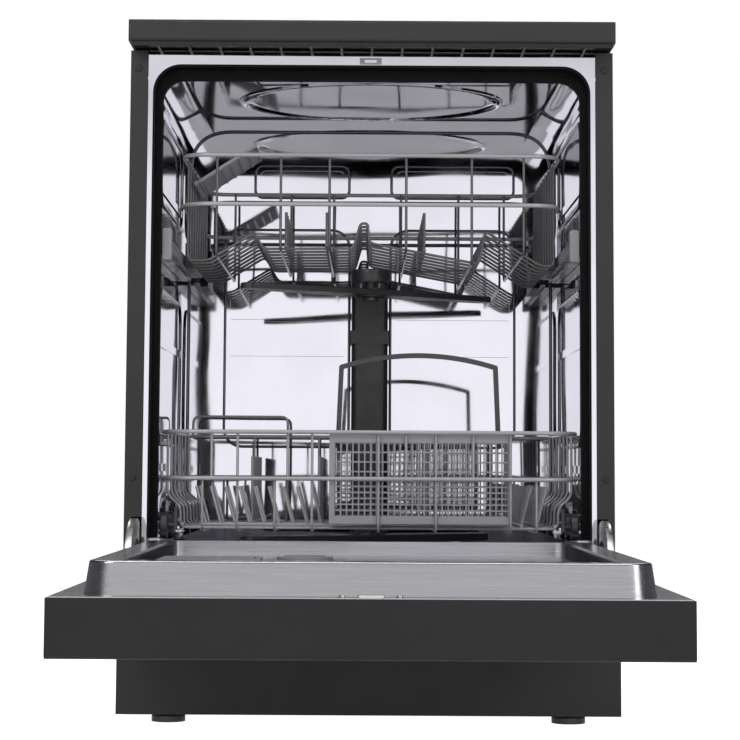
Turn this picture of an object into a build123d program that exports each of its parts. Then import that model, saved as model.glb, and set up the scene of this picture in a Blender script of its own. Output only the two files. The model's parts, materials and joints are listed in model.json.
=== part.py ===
"""Dishwasher with worktop, drop-down door, two sliding baskets and spray arms.

Units are millimetres, +Z is up and the front faces -Y. Each node is written to its own STEP file.
Shapes are placed in the cabinet's own frame, where y = 0 is the front flange plane, and moved by
SHIFT_Y on export so that the origin is under the middle of the machine with its door open.
"""
import math
import os

from build123d import *

# Overall sizes
CABINET_W = 598.0
WORKTOP_TOP = 848.0
WORKTOP_T = 27.3
WORKTOP_FRONT = -35.8
CABINET_BACK = 543.0
SHEET = 1.0

# Door, with its pivot line along X
PIVOT_Y = -36.75
PIVOT_Z = 148.75
DOOR_LENGTH = 663.25
DOOR_BELOW = 23.75
DOOR_INNER = 32.75
DOOR_OUTER = 24.0
DOOR_W = 596.0
CONTROL_H = 111.0
BOX_W = 538.0
BOX_DRAFT = 5.0
BOX_NEAR = 26.0
BOX_END = 7.0
BOX_RISE = 31.5
BOX_RIM = 27.0
BOX_DEPTH = 16.0
BOX_R = 30.0
HINGE_CORNER = 10.0

# Tub
TUB_W = 542.4
TUB_TOP = 798.0
TUB_BACK = 510.0
TUB_R = 35.0
FLOOR_Z = 190.0
SILL_Y = 30.0
LEDGE_W = 33.0
SUMP_R = 95.0
SUMP_Y = 270.0
FRAME_W = 5.8

# Hinge arms, as ring sectors about the pivot
ARM_IN = 66.0
ARM_OUT = 90.0
ARM_T = 8.0
ARM_TAIL = 42.0
PIN_R = 4.0

# Baskets
RIM_R = 2.75
WIRE_R = 1.5
TINE_R = 1.9
LOWER_W = 520.0
LOWER_FRONT = 25.0
LOWER_BACK = 472.0
LOWER_BOTTOM = 226.0
LOWER_RIM = 347.0
LOWER_MID_RIM = 287.0
UPPER_W = 472.0
UPPER_FRONT = 35.0
UPPER_BACK = 462.0
UPPER_RIM = 690.0
UPPER_MID_RIM = 628.0
BASKET_R = 46.0
WHEEL_R = 16.0
AXLE_R = 3.0
WHEELS_Y = (46.0, 128.0, 420.0)
RAIL_Z = 578.0
RAIL_H = 24.0

# Spray arms
LOWER_ARM_L = 410.0
UPPER_ARM_L = 410.0
HUB_R = 8.0
ARM_TURN = 38.0

# Clearances
RUN = 0.05
GAP = 0.5
WELD = 0.05

SHIFT_Y = (DOOR_LENGTH - PIVOT_Y - CABINET_BACK) / 2

HALF_W = CABINET_W / 2
WORKTOP_BOTTOM = WORKTOP_TOP - WORKTOP_T
PANEL_TOP = WORKTOP_BOTTOM - 5.7
DOOR_END = PIVOT_Y - DOOR_LENGTH
DOOR_HEEL = PIVOT_Y + DOOR_BELOW
FACE_Z = PIVOT_Z + DOOR_INNER
BACK_Z = PIVOT_Z - DOOR_OUTER
TRACK_Z = FACE_Z + BOX_RISE
FIELD_Z = TRACK_Z - BOX_DEPTH
CONTROL_Y = DOOR_END + CONTROL_H
LEDGE_X = TUB_W / 2 - LEDGE_W
FLANGE_IN = TUB_W / 2 + FRAME_W
ARM_X = FLANGE_IN + 2

os.makedirs("parts", exist_ok=True)


def block(x0, x1, y0, y1, z0, z1):
    """Box between two corners."""
    centre = ((x0 + x1) / 2, (y0 + y1) / 2, (z0 + z1) / 2)
    return Location(centre) * Box(abs(x1 - x0), abs(y1 - y0), abs(z1 - z0))


def mirrored(shape):
    """The same shape on the other side of the machine."""
    return mirror(shape, about=Plane.YZ)


def pair(shape):
    """Left and right copies as two solids."""
    return [shape, mirrored(shape)]


def rod(a, b, r):
    """Straight round bar between two points."""
    start, end = Vector(*a), Vector(*b)
    run = end - start
    return Solid.make_cylinder(r, run.length, Plane(origin=start, z_dir=run.normalized()))


def mitred(points, r):
    """Bent wire as straight bars that meet on the bisecting plane of each bend."""
    pts = [Vector(*p) for p in points]
    bars = []
    for i in range(len(pts) - 1):
        run = (pts[i + 1] - pts[i]).normalized()
        start, end = pts[i], pts[i + 1]
        if i > 0:
            start = start - run * (2 * r)
        if i < len(pts) - 2:
            end = end + run * (2 * r)
        bar = Solid.make_cylinder(r, (end - start).length, Plane(origin=start, z_dir=run))
        if i > 0:
            before = (pts[i] - pts[i - 1]).normalized()
            bar = split(bar, bisect_by=Plane(origin=pts[i], z_dir=before + run), keep=Keep.TOP)
        if i < len(pts) - 2:
            after = (pts[i + 2] - pts[i + 1]).normalized()
            bar = split(bar, bisect_by=Plane(origin=pts[i + 1], z_dir=after + run), keep=Keep.BOTTOM)
        bars.append(bar)
    return bars


def corner_bar(cx, cy, z, start_deg, corner_r, r):
    """Quarter-turn bar lying flat, part of a rounded rectangular rim."""
    arc = CenterArc((cx, cy, z), corner_r, start_deg, 90)
    return sweep(Plane(origin=arc @ 0, z_dir=arc % 0) * Circle(r), path=arc)


def rim(half_w, y0, y1, z, corner_r, r):
    """Rounded rectangular loop of round bar, as four straights and four quarter turns."""
    x_in = half_w - corner_r
    front, back = y0 + corner_r, y1 - corner_r
    return [
        rod((-x_in, y0, z), (x_in, y0, z), r),
        rod((half_w, front, z), (half_w, back, z), r),
        rod((x_in, y1, z), (-x_in, y1, z), r),
        rod((-half_w, back, z), (-half_w, front, z), r),
        corner_bar(-x_in, front, z, 180, corner_r, r),
        corner_bar(x_in, front, z, 270, corner_r, r),
        corner_bar(x_in, back, z, 0, corner_r, r),
        corner_bar(-x_in, back, z, 90, corner_r, r),
    ]


def solids_of(items):
    """Flatten shapes and lists of shapes to a list of solids."""
    out = []
    for item in items if isinstance(items, (list, tuple)) else [items]:
        out.extend(item.solids())
    return out


def save(name, items):
    """Write one node, as one solid or as a compound of separate solids."""
    solids = [s.moved(Location((0, SHIFT_Y, 0))) for s in solids_of(items)]
    for s in solids:
        assert s.volume > 0 and s.is_valid, name
    node = solids[0] if len(solids) == 1 else Compound(solids)
    node.label = name
    export_step(node, f"parts/{name}.step")


# ---------------------------------------------------------------- cabinet
worktop = block(-HALF_W, HALF_W, WORKTOP_FRONT, CABINET_BACK, WORKTOP_BOTTOM, WORKTOP_TOP)
worktop = fillet(worktop.edges().filter_by(Axis.X).group_by(Axis.Y)[0], 4)
save("worktop", worktop)

FRAME_FRONT = WORKTOP_FRONT + 2
worktop_frame = block(-HALF_W + 3, HALF_W - 3, FRAME_FRONT, CABINET_BACK - 2, WORKTOP_BOTTOM - 2.5,
                      WORKTOP_BOTTOM)
worktop_frame -= block(-230, 230, 40, 480, WORKTOP_BOTTOM - 4, WORKTOP_BOTTOM + 1)
RIB_PITCH = 37.5
ribs = [block(x - 1.5, x + 1.5, FRAME_FRONT + 2, -GAP, PANEL_TOP, WORKTOP_BOTTOM - 2)
        for x in [RIB_PITCH * i for i in range(-7, 8)]]
ribs.append(block(-HALF_W + 4, HALF_W - 4, FRAME_FRONT, FRAME_FRONT + 2, PANEL_TOP, WORKTOP_BOTTOM - 2))
for rib in ribs:
    worktop_frame += rib
save("worktop_frame", worktop_frame)

SIDE_BOTTOM = 16.0
FLANGE_BOTTOM = 116.0
SCREW_X = 289.0
SCREWS_Z = (288.0, 793.0)
SCREW_R = 2.0
SLOT_Z = (PIVOT_Z + 49, PIVOT_Z + 91)


def side_panel():
    panel = block(HALF_W - SHEET, HALF_W, 0, CABINET_BACK - 2, SIDE_BOTTOM, PANEL_TOP)
    panel += block(FLANGE_IN + GAP, HALF_W, 0, SHEET, FLANGE_BOTTOM, PANEL_TOP)
    panel -= block(FLANGE_IN + 1, FLANGE_IN + 13, -1, SHEET + 1, *SLOT_Z)
    for z in SCREWS_Z:
        panel -= Location((SCREW_X, 0, z)) * Rotation(90, 0, 0) * Cylinder(SCREW_R + 0.2, 6)
    return panel


save("side_panel_right", side_panel())
save("side_panel_left", mirrored(side_panel()))

rear_panel = block(-HALF_W + 1, HALF_W - 1, CABINET_BACK - SHEET, CABINET_BACK, FLANGE_BOTTOM, PANEL_TOP)
for z in (260, 420, 580, 740):
    rear_panel += Location((0, CABINET_BACK - SHEET, z)) * Box(440, 3, 14)
rear_panel -= block(-HALF_W, HALF_W, CABINET_BACK, CABINET_BACK + 5, 0, PANEL_TOP)
save("rear_panel", rear_panel)

BASE_FRONT = -46.0
BASE_BACK = 500.0
BASE_BOTTOM = 14.0
BASE_TOP = 112.0
BASE_WALL = 3.0
FOOT_X = 238.0
FOOT_YS = (-38.0, 470.0)
STEM_R = 5.0
base = block(-HALF_W + 1.5, HALF_W - 1.5, BASE_FRONT, BASE_BACK, BASE_BOTTOM, BASE_TOP)
base -= block(-HALF_W + 1.5 + BASE_WALL, HALF_W - 1.5 - BASE_WALL, BASE_FRONT + BASE_WALL,
              BASE_BACK - BASE_WALL, BASE_BOTTOM + BASE_WALL, BASE_TOP + 1)
for x in (-FOOT_X, FOOT_X):
    for y in FOOT_YS:
        base += Location((x, y, BASE_BOTTOM + 32)) * Cylinder(12, 64)
        base -= Location((x, y, BASE_BOTTOM + 30)) * Cylinder(STEM_R + RUN, 72)

# Water and mains fittings leave through the base's rear wall
FITTING_Z = 70.0
INLET_X = 200.0
INLET_R = 13.2
DRAIN_X = -200.0
DRAIN_R = 10.0
GLAND_X = 120.0
GLAND_R = 10.0
for x, r in ((INLET_X, INLET_R), (DRAIN_X, DRAIN_R), (GLAND_X, GLAND_R)):
    base -= Location((x, BASE_BACK, FITTING_Z)) * Rotation(90, 0, 0) * Cylinder(r + 0.3, 20)
save("base_tray", base)

KICK_BOTTOM = 9.3
kick = block(-HALF_W, HALF_W, -60, BASE_FRONT - GAP, KICK_BOTTOM, BASE_TOP)
kick -= block(-HALF_W + 2, HALF_W - 2, -58, BASE_FRONT + 1, KICK_BOTTOM + 2, BASE_TOP - 2)
save("kickplate", kick)


def foot(x, y):
    """Levelling foot: ribbed pad with a threaded stem."""
    pad = Location((x, y, 4)) * Cylinder(20, 8)
    pad = fillet(pad.edges().group_by(Axis.Z)[-1], 2)
    pad += Location((x, y, 10.5)) * Cylinder(8, 5)
    return pad + Location((x, y, 40)) * Cylinder(STEM_R, 60)


save("foot_front_left", foot(-FOOT_X, FOOT_YS[0]))
save("foot_front_right", foot(FOOT_X, FOOT_YS[0]))
save("feet_rear", [foot(-FOOT_X, FOOT_YS[1]), foot(FOOT_X, FOOT_YS[1])])


def screw(x, z):
    """Pan-head screw driven into a front flange."""
    axis = Location((x, 0, z)) * Rotation(90, 0, 0)
    head = axis * Location((0, 0, 1.2)) * Cylinder(4.2, 2.4)
    head = fillet(head.edges().group_by(Axis.Y)[0], 1)
    head -= axis * Location((0, 0, 2.2)) * Box(5, 1, 1.4)
    head -= axis * Location((0, 0, 2.2)) * Box(1, 5, 1.4)
    return head + axis * Location((0, 0, -6)) * Cylinder(SCREW_R, 12)


save("cabinet_screws", [screw(x, z) for x in (-SCREW_X, SCREW_X) for z in SCREWS_Z])

# ---------------------------------------------------------------- tub
WALL_Z = 150.0


def arch(half_w, top, r, y0, y1, bottom):
    """Solid of an arched doorway outline with rounded top corners."""
    outline = Pos(0, (bottom + top) / 2) * RectangleRounded(2 * half_w, top - bottom, r)
    outline += Pos(0, bottom + r) * Rectangle(2 * half_w, 2 * r)
    return extrude(Plane(origin=(0, y1, 0), x_dir=(1, 0, 0), z_dir=(0, -1, 0)) * outline, y1 - y0)


TUB_HALF = TUB_W / 2
BEAD = 1.6
wrap = arch(TUB_HALF + SHEET, TUB_TOP + SHEET, TUB_R + SHEET, 0, TUB_BACK, WALL_Z)
wrap += arch(FLANGE_IN, PANEL_TOP, 3, 0, SHEET, WALL_Z)
wrap -= arch(TUB_HALF, TUB_TOP, TUB_R, -1, TUB_BACK + 1, WALL_Z - 1)
for x in (-TUB_HALF, TUB_HALF):
    for z in (300, 460, 660):
        wrap += Location((x, 300, z)) * Box(2 * BEAD, 330, 10)
oval = Pos(0, 295) * (Ellipse(180, 161) - Ellipse(172, 153))
wrap += extrude(Plane.XY.offset(TUB_TOP - BEAD) * oval, BEAD + SHEET / 2)
save("tub_wrap", wrap)

BACK_PLANE = Plane(origin=(0, TUB_BACK, 0), x_dir=(1, 0, 0), z_dir=(0, -1, 0))


def bead_frame(x0, x1, z0, z1, r, width=7.0):
    """Raised outline pressed into the back wall."""
    w, h = x1 - x0, z1 - z0
    ring = RectangleRounded(w, h, r) - RectangleRounded(w - 2 * width, h - 2 * width, r - width / 2)
    return extrude(BACK_PLANE * (Pos((x0 + x1) / 2, (z0 + z1) / 2) * ring), BEAD)


back = arch(TUB_HALF + SHEET, TUB_TOP + SHEET, TUB_R + SHEET, TUB_BACK, TUB_BACK + SHEET, WALL_Z)
for x0, x1 in ((-209, -30), (30, 209)):
    back += bead_frame(x0, x1, 331, 644, 28)
    for z in (461, 514):
        back += extrude(BACK_PLANE * (Pos((x0 + x1) / 2, z) * Rectangle(165, 6)), BEAD)
back += bead_frame(-167, -31, 692, 738, 12)
back += bead_frame(31, 208, 692, 738, 12)
save("tub_back", back)

# Floor pressed down between the two ledges that carry the lower wheels
LEDGE_OUT = TUB_HALF - 0.1
hat = Polyline((-LEDGE_OUT, TRACK_Z), (-LEDGE_X, TRACK_Z), (-LEDGE_X, FLOOR_Z), (LEDGE_X, FLOOR_Z),
               (LEDGE_X, TRACK_Z), (LEDGE_OUT, TRACK_Z), (LEDGE_OUT, TRACK_Z - SHEET),
               (LEDGE_X + SHEET, TRACK_Z - SHEET), (LEDGE_X + SHEET, FLOOR_Z - SHEET),
               (-LEDGE_X - SHEET, FLOOR_Z - SHEET), (-LEDGE_X - SHEET, TRACK_Z - SHEET),
               (-LEDGE_OUT, TRACK_Z - SHEET), close=True)
floor = extrude(Plane(origin=(0, TUB_BACK, 0), x_dir=(1, 0, 0), z_dir=(0, -1, 0)) * make_face(hat),
                TUB_BACK - SILL_Y)
lip = block(-LEDGE_OUT, LEDGE_OUT, SILL_Y, SILL_Y + SHEET, WALL_Z, TRACK_Z)
lip -= block(-LEDGE_X, LEDGE_X, 0, 100, FLOOR_Z, TRACK_Z + 5)
floor += lip
floor -= Location((0, SUMP_Y, FLOOR_Z)) * Cylinder(SUMP_R, 12)
SOFT_X = 73.2 - LEDGE_X
SOFT_Y = 330.0
SALT_R = 30.0
floor -= Location((SOFT_X, SOFT_Y, FLOOR_Z)) * Cylinder(SALT_R + GAP, 12)
save("tub_floor", floor)

LINING = 2.4
LIP_W = 10.0
LIP_Y = (28.0, 40.0)
gasket = arch(TUB_HALF - 0.2, TUB_TOP - 0.2, TUB_R, 2, LIP_Y[1], TRACK_Z + 1)
gasket -= arch(TUB_HALF - 0.2 - LINING, TUB_TOP - 0.2 - LINING, TUB_R - 3, 0, LIP_Y[0], TRACK_Z)
gasket -= arch(TUB_HALF - 0.2 - LIP_W, TUB_TOP - 15, TUB_R - 7, 0, 60, TRACK_Z)
sill_seal = block(-TUB_HALF + 8, TUB_HALF - 8, LIP_Y[0], SILL_Y, WALL_Z + 4, WALL_Z + 18)
save("door_gasket", [gasket, sill_seal])

striker = block(-15, 12, -1.2, 0, 799, 807)
striker -= block(-9, 6, -2, 1, 801, 805)
save("latch_striker", striker)

# Water duct up the back wall, with a docking mouth for the upper basket
DUCT_TOP = 584.0
DOCK_Z = 560.0
duct = block(-26, 26, TUB_BACK - 30, TUB_BACK - BEAD - 0.4, FLOOR_Z + 0.2, DUCT_TOP)
duct = fillet(duct.edges().filter_by(Axis.Z).group_by(Axis.Y)[0], 8)
duct += block(-28, 28, TUB_BACK - 32, TUB_BACK - BEAD - 0.4, 478, 497)
duct -= Location((0, TUB_BACK - 30, DOCK_Z)) * Rotation(90, 0, 0) * Cylinder(12, 24)
duct += block(-18, 18, SUMP_Y + SUMP_R - 2, TUB_BACK - 20, FLOOR_Z + 0.2, FLOOR_Z + 8)
save("water_duct", duct)

# ---------------------------------------------------------------- sump, filters and hydraulics
SUMP_BOTTOM = 126.0
sump_h = FLOOR_Z - SHEET - SUMP_BOTTOM
sump = Location((0, SUMP_Y, SUMP_BOTTOM + sump_h / 2)) * Cylinder(SUMP_R + 3, sump_h)
sump -= Location((0, SUMP_Y, SUMP_BOTTOM + 3 + 40)) * Cylinder(SUMP_R - 1, 80)
sump += Location((0, SUMP_Y, SUMP_BOTTOM + 36.5)) * Cylinder(14, 73)
sump += Location((0, SUMP_Y, 206)) * Cylinder(HUB_R - RUN, 24)
sump -= Location((0, SUMP_Y, 190)) * Cylinder(5, 180)
save("sump", sump)

CUP_X = 52.0
CUP_Y = SUMP_Y - 34
CUP_R = 30.0
plate = Location((0, SUMP_Y, FLOOR_Z - 3)) * Cylinder(SUMP_R - 1.5, 2)
plate -= Location((0, SUMP_Y, FLOOR_Z)) * Cylinder(14 + GAP, 20)
plate -= Location((CUP_X, CUP_Y, FLOOR_Z)) * Cylinder(CUP_R + GAP, 20)
save("fine_filter", plate)

cup = Location((CUP_X, CUP_Y, 164)) * Cylinder(CUP_R, 56)
cup -= Location((CUP_X, CUP_Y, 168)) * Cylinder(CUP_R - 1.5, 56)
cup += Location((CUP_X, CUP_Y, 190)) * Box(2 * CUP_R - 1, 4, 10)
save("filter_cup", cup)

PUMP_Z = 74.0
pump = Location((60, SUMP_Y + 40, PUMP_Z)) * Rotation(0, 90, 0) * Cylinder(36, 110)
pump += Location((-8, SUMP_Y + 40, PUMP_Z)) * Rotation(0, 90, 0) * Cylinder(40, 26)
drain = Location((-66, SUMP_Y + 100, PUMP_Z)) * Rotation(90, 0, 0) * Cylinder(24, 80)
drain += Location((-66, SUMP_Y + 50, PUMP_Z)) * Rotation(90, 0, 0) * Cylinder(30, 20)
save("pumps", [pump, drain])

softener = block(SOFT_X - 60, SOFT_X + 60, SOFT_Y - 70, SOFT_Y + 70, 60, 170)
softener = fillet(softener.edges().filter_by(Axis.Z), 14)
softener += Location((SOFT_X, SOFT_Y, 178)) * Cylinder(SALT_R, 18)
softener -= Location((SOFT_X, SOFT_Y, 170)) * Cylinder(SALT_R - 4, 100)
save("water_softener", softener)

salt_cap = Location((SOFT_X, SOFT_Y, FLOOR_Z + 2.5)) * Cylinder(SALT_R + 4, 4)
salt_cap += Location((SOFT_X, SOFT_Y, 183)) * Cylinder(SALT_R - 4.3, 15)
salt_cap += Location((SOFT_X, SOFT_Y, FLOOR_Z + 6)) * Box(46, 6, 6)
save("salt_cap", salt_cap)

inlet = block(INLET_X - 24, INLET_X + 24, BASE_BACK - 50, BASE_BACK - BASE_WALL - 0.2, 44, 96)
inlet += rod((INLET_X, BASE_BACK - 8, FITTING_Z), (INLET_X, BASE_BACK + 4, FITTING_Z), INLET_R - 2)
inlet += rod((INLET_X, BASE_BACK + 3, FITTING_Z), (INLET_X, BASE_BACK + 33, FITTING_Z), INLET_R)
inlet -= rod((INLET_X, BASE_BACK - 25, FITTING_Z), (INLET_X, BASE_BACK + 34, FITTING_Z), 8)
save("inlet_valve", inlet)

spigot = rod((DRAIN_X, BASE_BACK - 10, FITTING_Z), (DRAIN_X, BASE_BACK + 34, FITTING_Z), DRAIN_R)
spigot += rod((DRAIN_X, BASE_BACK + 0.2, FITTING_Z), (DRAIN_X, BASE_BACK + 7.8, FITTING_Z), 15)
spigot -= rod((DRAIN_X, BASE_BACK - 20, FITTING_Z), (DRAIN_X, BASE_BACK + 40, FITTING_Z), 7)
gland = rod((GLAND_X, BASE_BACK + 0.2, FITTING_Z), (GLAND_X, BASE_BACK + 7.8, FITTING_Z), 14)
gland += rod((GLAND_X, BASE_BACK - 10, FITTING_Z), (GLAND_X, BASE_BACK + 6, FITTING_Z), GLAND_R)
gland -= rod((GLAND_X, BASE_BACK - 20, FITTING_Z), (GLAND_X, BASE_BACK + 20, FITTING_Z), 4)
save("rear_fittings", [spigot, gland])


def spray_arm(length, z, height, tip, turn, hub_r, y, bore):
    """Two-bladed arm with jets, turned about its hub."""
    half = length / 2
    root = 26.0
    outline = make_face(Polyline((-half + 8, -tip), (-60, -root), (60, -root), (half - 8, -tip),
                                 (half - 8, tip), (60, root), (-60, root), (-half + 8, tip), close=True))
    outline += Pos(half - 12, 0) * Circle(12)
    outline += Pos(-half + 12, 0) * Circle(12)
    arm = extrude(Plane.XY.offset(z) * outline, height)
    arm = fillet(arm.edges().group_by(Axis.Z)[-1], 2.5)
    arm += Location((0, 0, z + height / 2)) * Cylinder(hub_r, height + 3)
    for i, d in enumerate((55, 92, 130, 168, half - 16)):
        offset = 5 if i % 2 else -5
        for s in (-1, 1):
            arm -= Location((s * d, s * offset, z + height)) * Cylinder(2, 7)
    arm -= Location((0, 0, z)) * Cylinder(bore, 60)
    return arm.moved(Location((0, y, 0)) * Rotation(0, 0, turn))


lower_arm = spray_arm(LOWER_ARM_L, 202, 11, 15, ARM_TURN, 22, SUMP_Y, HUB_R)
save("lower_spray_arm", lower_arm)

# ---------------------------------------------------------------- hinges
EAR_R = 10.0
EAR_X = (HALF_W - 8.5, HALF_W - 1.5)


def hinge_bracket():
    ear = block(*EAR_X, PIVOT_Y - EAR_R, PIVOT_Y + EAR_R, BASE_TOP + 0.2, PIVOT_Z)
    ear += Location(((EAR_X[0] + EAR_X[1]) / 2, PIVOT_Y, PIVOT_Z)) * Rotation(0, 90, 0) * Cylinder(
        EAR_R, EAR_X[1] - EAR_X[0])
    return ear + rod((ARM_X, PIVOT_Y, PIVOT_Z), (EAR_X[0], PIVOT_Y, PIVOT_Z), PIN_R)


save("hinge_brackets", pair(hinge_bracket()))


def hinge_arm():
    """Door arm: a plate bored for the pivot pin and a curved tongue that enters the cabinet."""
    side = Plane(origin=(ARM_X, PIVOT_Y, PIVOT_Z), x_dir=(0, 1, 0), z_dir=(1, 0, 0))
    ring = Circle(ARM_OUT) - Circle(ARM_IN)
    keep = make_face(Polyline((0, 0), (200 * math.cos(math.radians(ARM_TAIL)),
                                       200 * math.sin(math.radians(ARM_TAIL))),
                              (0, 260), (-260, 260), (-260, DOOR_INNER - 20), (0, DOOR_INNER - 20),
                              close=True))
    tongue = extrude(side * (ring & keep), ARM_T)
    plate = block(ARM_X, ARM_X + ARM_T, PIVOT_Y - 190, PIVOT_Y + 10, PIVOT_Z - 12, PIVOT_Z + 26)
    arm = tongue + plate
    return arm - rod((ARM_X - 1, PIVOT_Y, PIVOT_Z), (ARM_X + ARM_T + 1, PIVOT_Y, PIVOT_Z), PIN_R + RUN)


save("door_hinge_arms", pair(hinge_arm()))

# ---------------------------------------------------------------- door, modelled lying open
DOOR_HALF = DOOR_W / 2
DOOR_T = 1.0
NOTCH_X = EAR_X[0] - 1.5
NOTCH_Y = PIVOT_Y - EAR_R - 4


def side_profile(points):
    """Face in the YZ plane from (y, z) points."""
    plane = Plane(origin=(0, 0, 0), x_dir=(0, 1, 0), z_dir=(1, 0, 0))
    return plane * make_face(Polyline(*points, close=True))


def slab(half_w, y_front, y_back, z_low, z_high, corner):
    """Door slab with its upper hinge corner cut back to swing past the flanges."""
    face = side_profile([(y_front, z_low), (y_back, z_low), (y_back, z_high - corner),
                         (y_back - corner, z_high), (y_front, z_high)])
    return extrude(face, half_w, both=True)


PANEL_Z = FACE_Z - DOOR_T
outer = slab(DOOR_HALF, CONTROL_Y + GAP, DOOR_HEEL, BACK_Z, PANEL_Z, HINGE_CORNER)
outer -= slab(DOOR_HALF - DOOR_T, CONTROL_Y + GAP + DOOR_T, DOOR_HEEL - DOOR_T, BACK_Z + DOOR_T, PANEL_Z + 1,
              HINGE_CORNER)
ARM_SLOT_X = (ARM_X - 1, ARM_X + ARM_T + 1)
for s in (-1, 1):
    outer -= block(s * NOTCH_X, s * (DOOR_HALF + 1), NOTCH_Y, 0, BACK_Z - 1, PIVOT_Z + EAR_R + 3)
save("door_outer_panel", outer)

BORDER_IN = 2.0
border = block(-DOOR_HALF + BORDER_IN, DOOR_HALF - BORDER_IN, DOOR_END + BORDER_IN,
               DOOR_HEEL - HINGE_CORNER - 0.5, PANEL_Z, FACE_Z)
BOX_Y = (DOOR_END + BOX_NEAR, PIVOT_Y + BOX_END)


def tray_block(inset_by, z0, z1, r, draft):
    """Rounded block on the raised box's outline, drawn in by its draft angle towards the top."""
    w = BOX_W - 2 * inset_by
    length = BOX_Y[1] - BOX_Y[0] - 2 * inset_by
    outline = Pos(0, (BOX_Y[0] + BOX_Y[1]) / 2) * RectangleRounded(w, length, r)
    return extrude(Plane.XY.offset(z0) * outline, z1 - z0, taper=draft)


draft_angle = math.degrees(math.atan(BOX_DRAFT / BOX_RISE))
rim_inset = BOX_DRAFT + BOX_RIM
raised = tray_block(0, PANEL_Z, TRACK_Z, BOX_R, draft_angle)
raised = fillet(raised.edges().group_by(Axis.Z)[-1], 2.4)
hollow = tray_block(1.2, PANEL_Z - 1, TRACK_Z - 1.2, BOX_R - 1.2, draft_angle)
hollow -= tray_block(rim_inset - 1.2, FIELD_Z - 1.2, TRACK_Z, BOX_R - 13, 0)
recess = tray_block(rim_inset, FIELD_Z, TRACK_Z + 1, BOX_R - 14, 0)
inner_panel = border + raised - hollow - recess
for s in (-1, 1):
    inner_panel -= block(s * ARM_SLOT_X[0], s * ARM_SLOT_X[1], PIVOT_Y - ARM_OUT - 4, PIVOT_Y - 50,
                         PANEL_Z - 1, FACE_Z + 1)
DISP_X = (-227.0, -22.0)
DISP_Y = (-430.0, -290.0)
inner_panel -= block(DISP_X[0] + 6, DISP_X[1] - 6, DISP_Y[0] + 6, DISP_Y[1] - 6, FIELD_Z - 5, FIELD_Z + 5)
save("door_inner_panel", inner_panel)

control = block(-DOOR_HALF, DOOR_HALF, DOOR_END, CONTROL_Y, BACK_Z, PANEL_Z)
control = fillet(control.edges().filter_by(Axis.X).group_by(Axis.Y)[0].group_by(Axis.Z)[0], 5)
control -= block(-DOOR_HALF + 2.5, DOOR_HALF - 2.5, DOOR_END + 2.5, CONTROL_Y + 1, BACK_Z + 2.5, PANEL_Z + 1)
GRIP_Y = (DOOR_END + 14, DOOR_END + 44)
control += block(-92, 92, GRIP_Y[0] - 2, GRIP_Y[1] + 2, BACK_Z + 1, BACK_Z + 24)
control -= block(-90, 90, *GRIP_Y, BACK_Z - 1, BACK_Z + 22)
WINDOW_X = (120.0, 200.0)
WINDOW_Y = (DOOR_END + 58, DOOR_END + 88)
control -= block(*WINDOW_X, *WINDOW_Y, BACK_Z - 1, BACK_Z + 5)
BUTTON_Y = DOOR_END + 73
BUTTONS = {"power_button": -245.0, "program_button": 75.0, "start_button": 245.0}
BUTTON_R = 8.0
for x in BUTTONS.values():
    control -= Location((x, BUTTON_Y, BACK_Z)) * Cylinder(BUTTON_R + 0.3, 20)
save("control_panel", control)

save("display_window", block(WINDOW_X[0] + 0.1, WINDOW_X[1] - 0.1, WINDOW_Y[0] + 0.1, WINDOW_Y[1] - 0.1,
                             BACK_Z + 0.4, BACK_Z + 2.4))
for name, x in BUTTONS.items():
    cap = Location((x, BUTTON_Y, BACK_Z + 4)) * Cylinder(BUTTON_R, 12)
    cap = fillet(cap.edges().group_by(Axis.Z)[0], 0.8)
    save(name, cap)

# Latch plate on the door's end border
LATCH_T = 2.4
latch = block(-12, 13, DOOR_END + 3, DOOR_END + 19, FACE_Z + 0.1, FACE_Z + LATCH_T)
latch = fillet(latch.edges().filter_by(Axis.Z), 2)
latch -= block(-8, 9, DOOR_END + 7, DOOR_END + 15, FACE_Z + 1.2, FACE_Z + 12)
latch_screws = [Location((x, DOOR_END + 12, FACE_Z + 1)) * Cylinder(3.4, 1.8) for x in (-26, 27)]
save("door_latch", [latch, *latch_screws])

# Side lip seals along the raised box
strip_x = BOX_W / 2 - rim_inset - 0.3
save("door_lip_seals", pair(block(strip_x - 5, strip_x, BOX_Y[0] + 124.25, BOX_Y[1] - rim_inset - 18,
                                  FIELD_Z + 0.1, TRACK_Z - 4)))

DISP_TOP = 204.0
SPLIT_X = -116.0
dispenser = block(*DISP_X, *DISP_Y, FIELD_Z + 0.1, DISP_TOP - 4)
dispenser = fillet(dispenser.edges().filter_by(Axis.Z), 12)
dispenser += block(DISP_X[0] + 8, DISP_X[1] - 8, DISP_Y[0] + 8, DISP_Y[1] - 8, FIELD_Z - 12, FIELD_Z + 1)
CUP_POCKET = (DISP_X[0] + 14, SPLIT_X - 10, DISP_Y[0] + 16, DISP_Y[1] - 16)
dispenser -= block(*CUP_POCKET, FIELD_Z - 10, DISP_TOP)
RINSE_X = (SPLIT_X + DISP_X[1]) / 2
RINSE_Y = (DISP_Y[0] + DISP_Y[1]) / 2
RINSE_R = 30.0
rinse_deck = block(SPLIT_X + 4, DISP_X[1] - 4, DISP_Y[0] + 4, DISP_Y[1] - 4, DISP_TOP - 5, DISP_TOP - 2)
dispenser += fillet(rinse_deck.edges().filter_by(Axis.Z), 8)
dispenser -= Location((RINSE_X, RINSE_Y, DISP_TOP)) * Cylinder(RINSE_R - 6, 20)
save("dispenser_body", dispenser)

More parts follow.
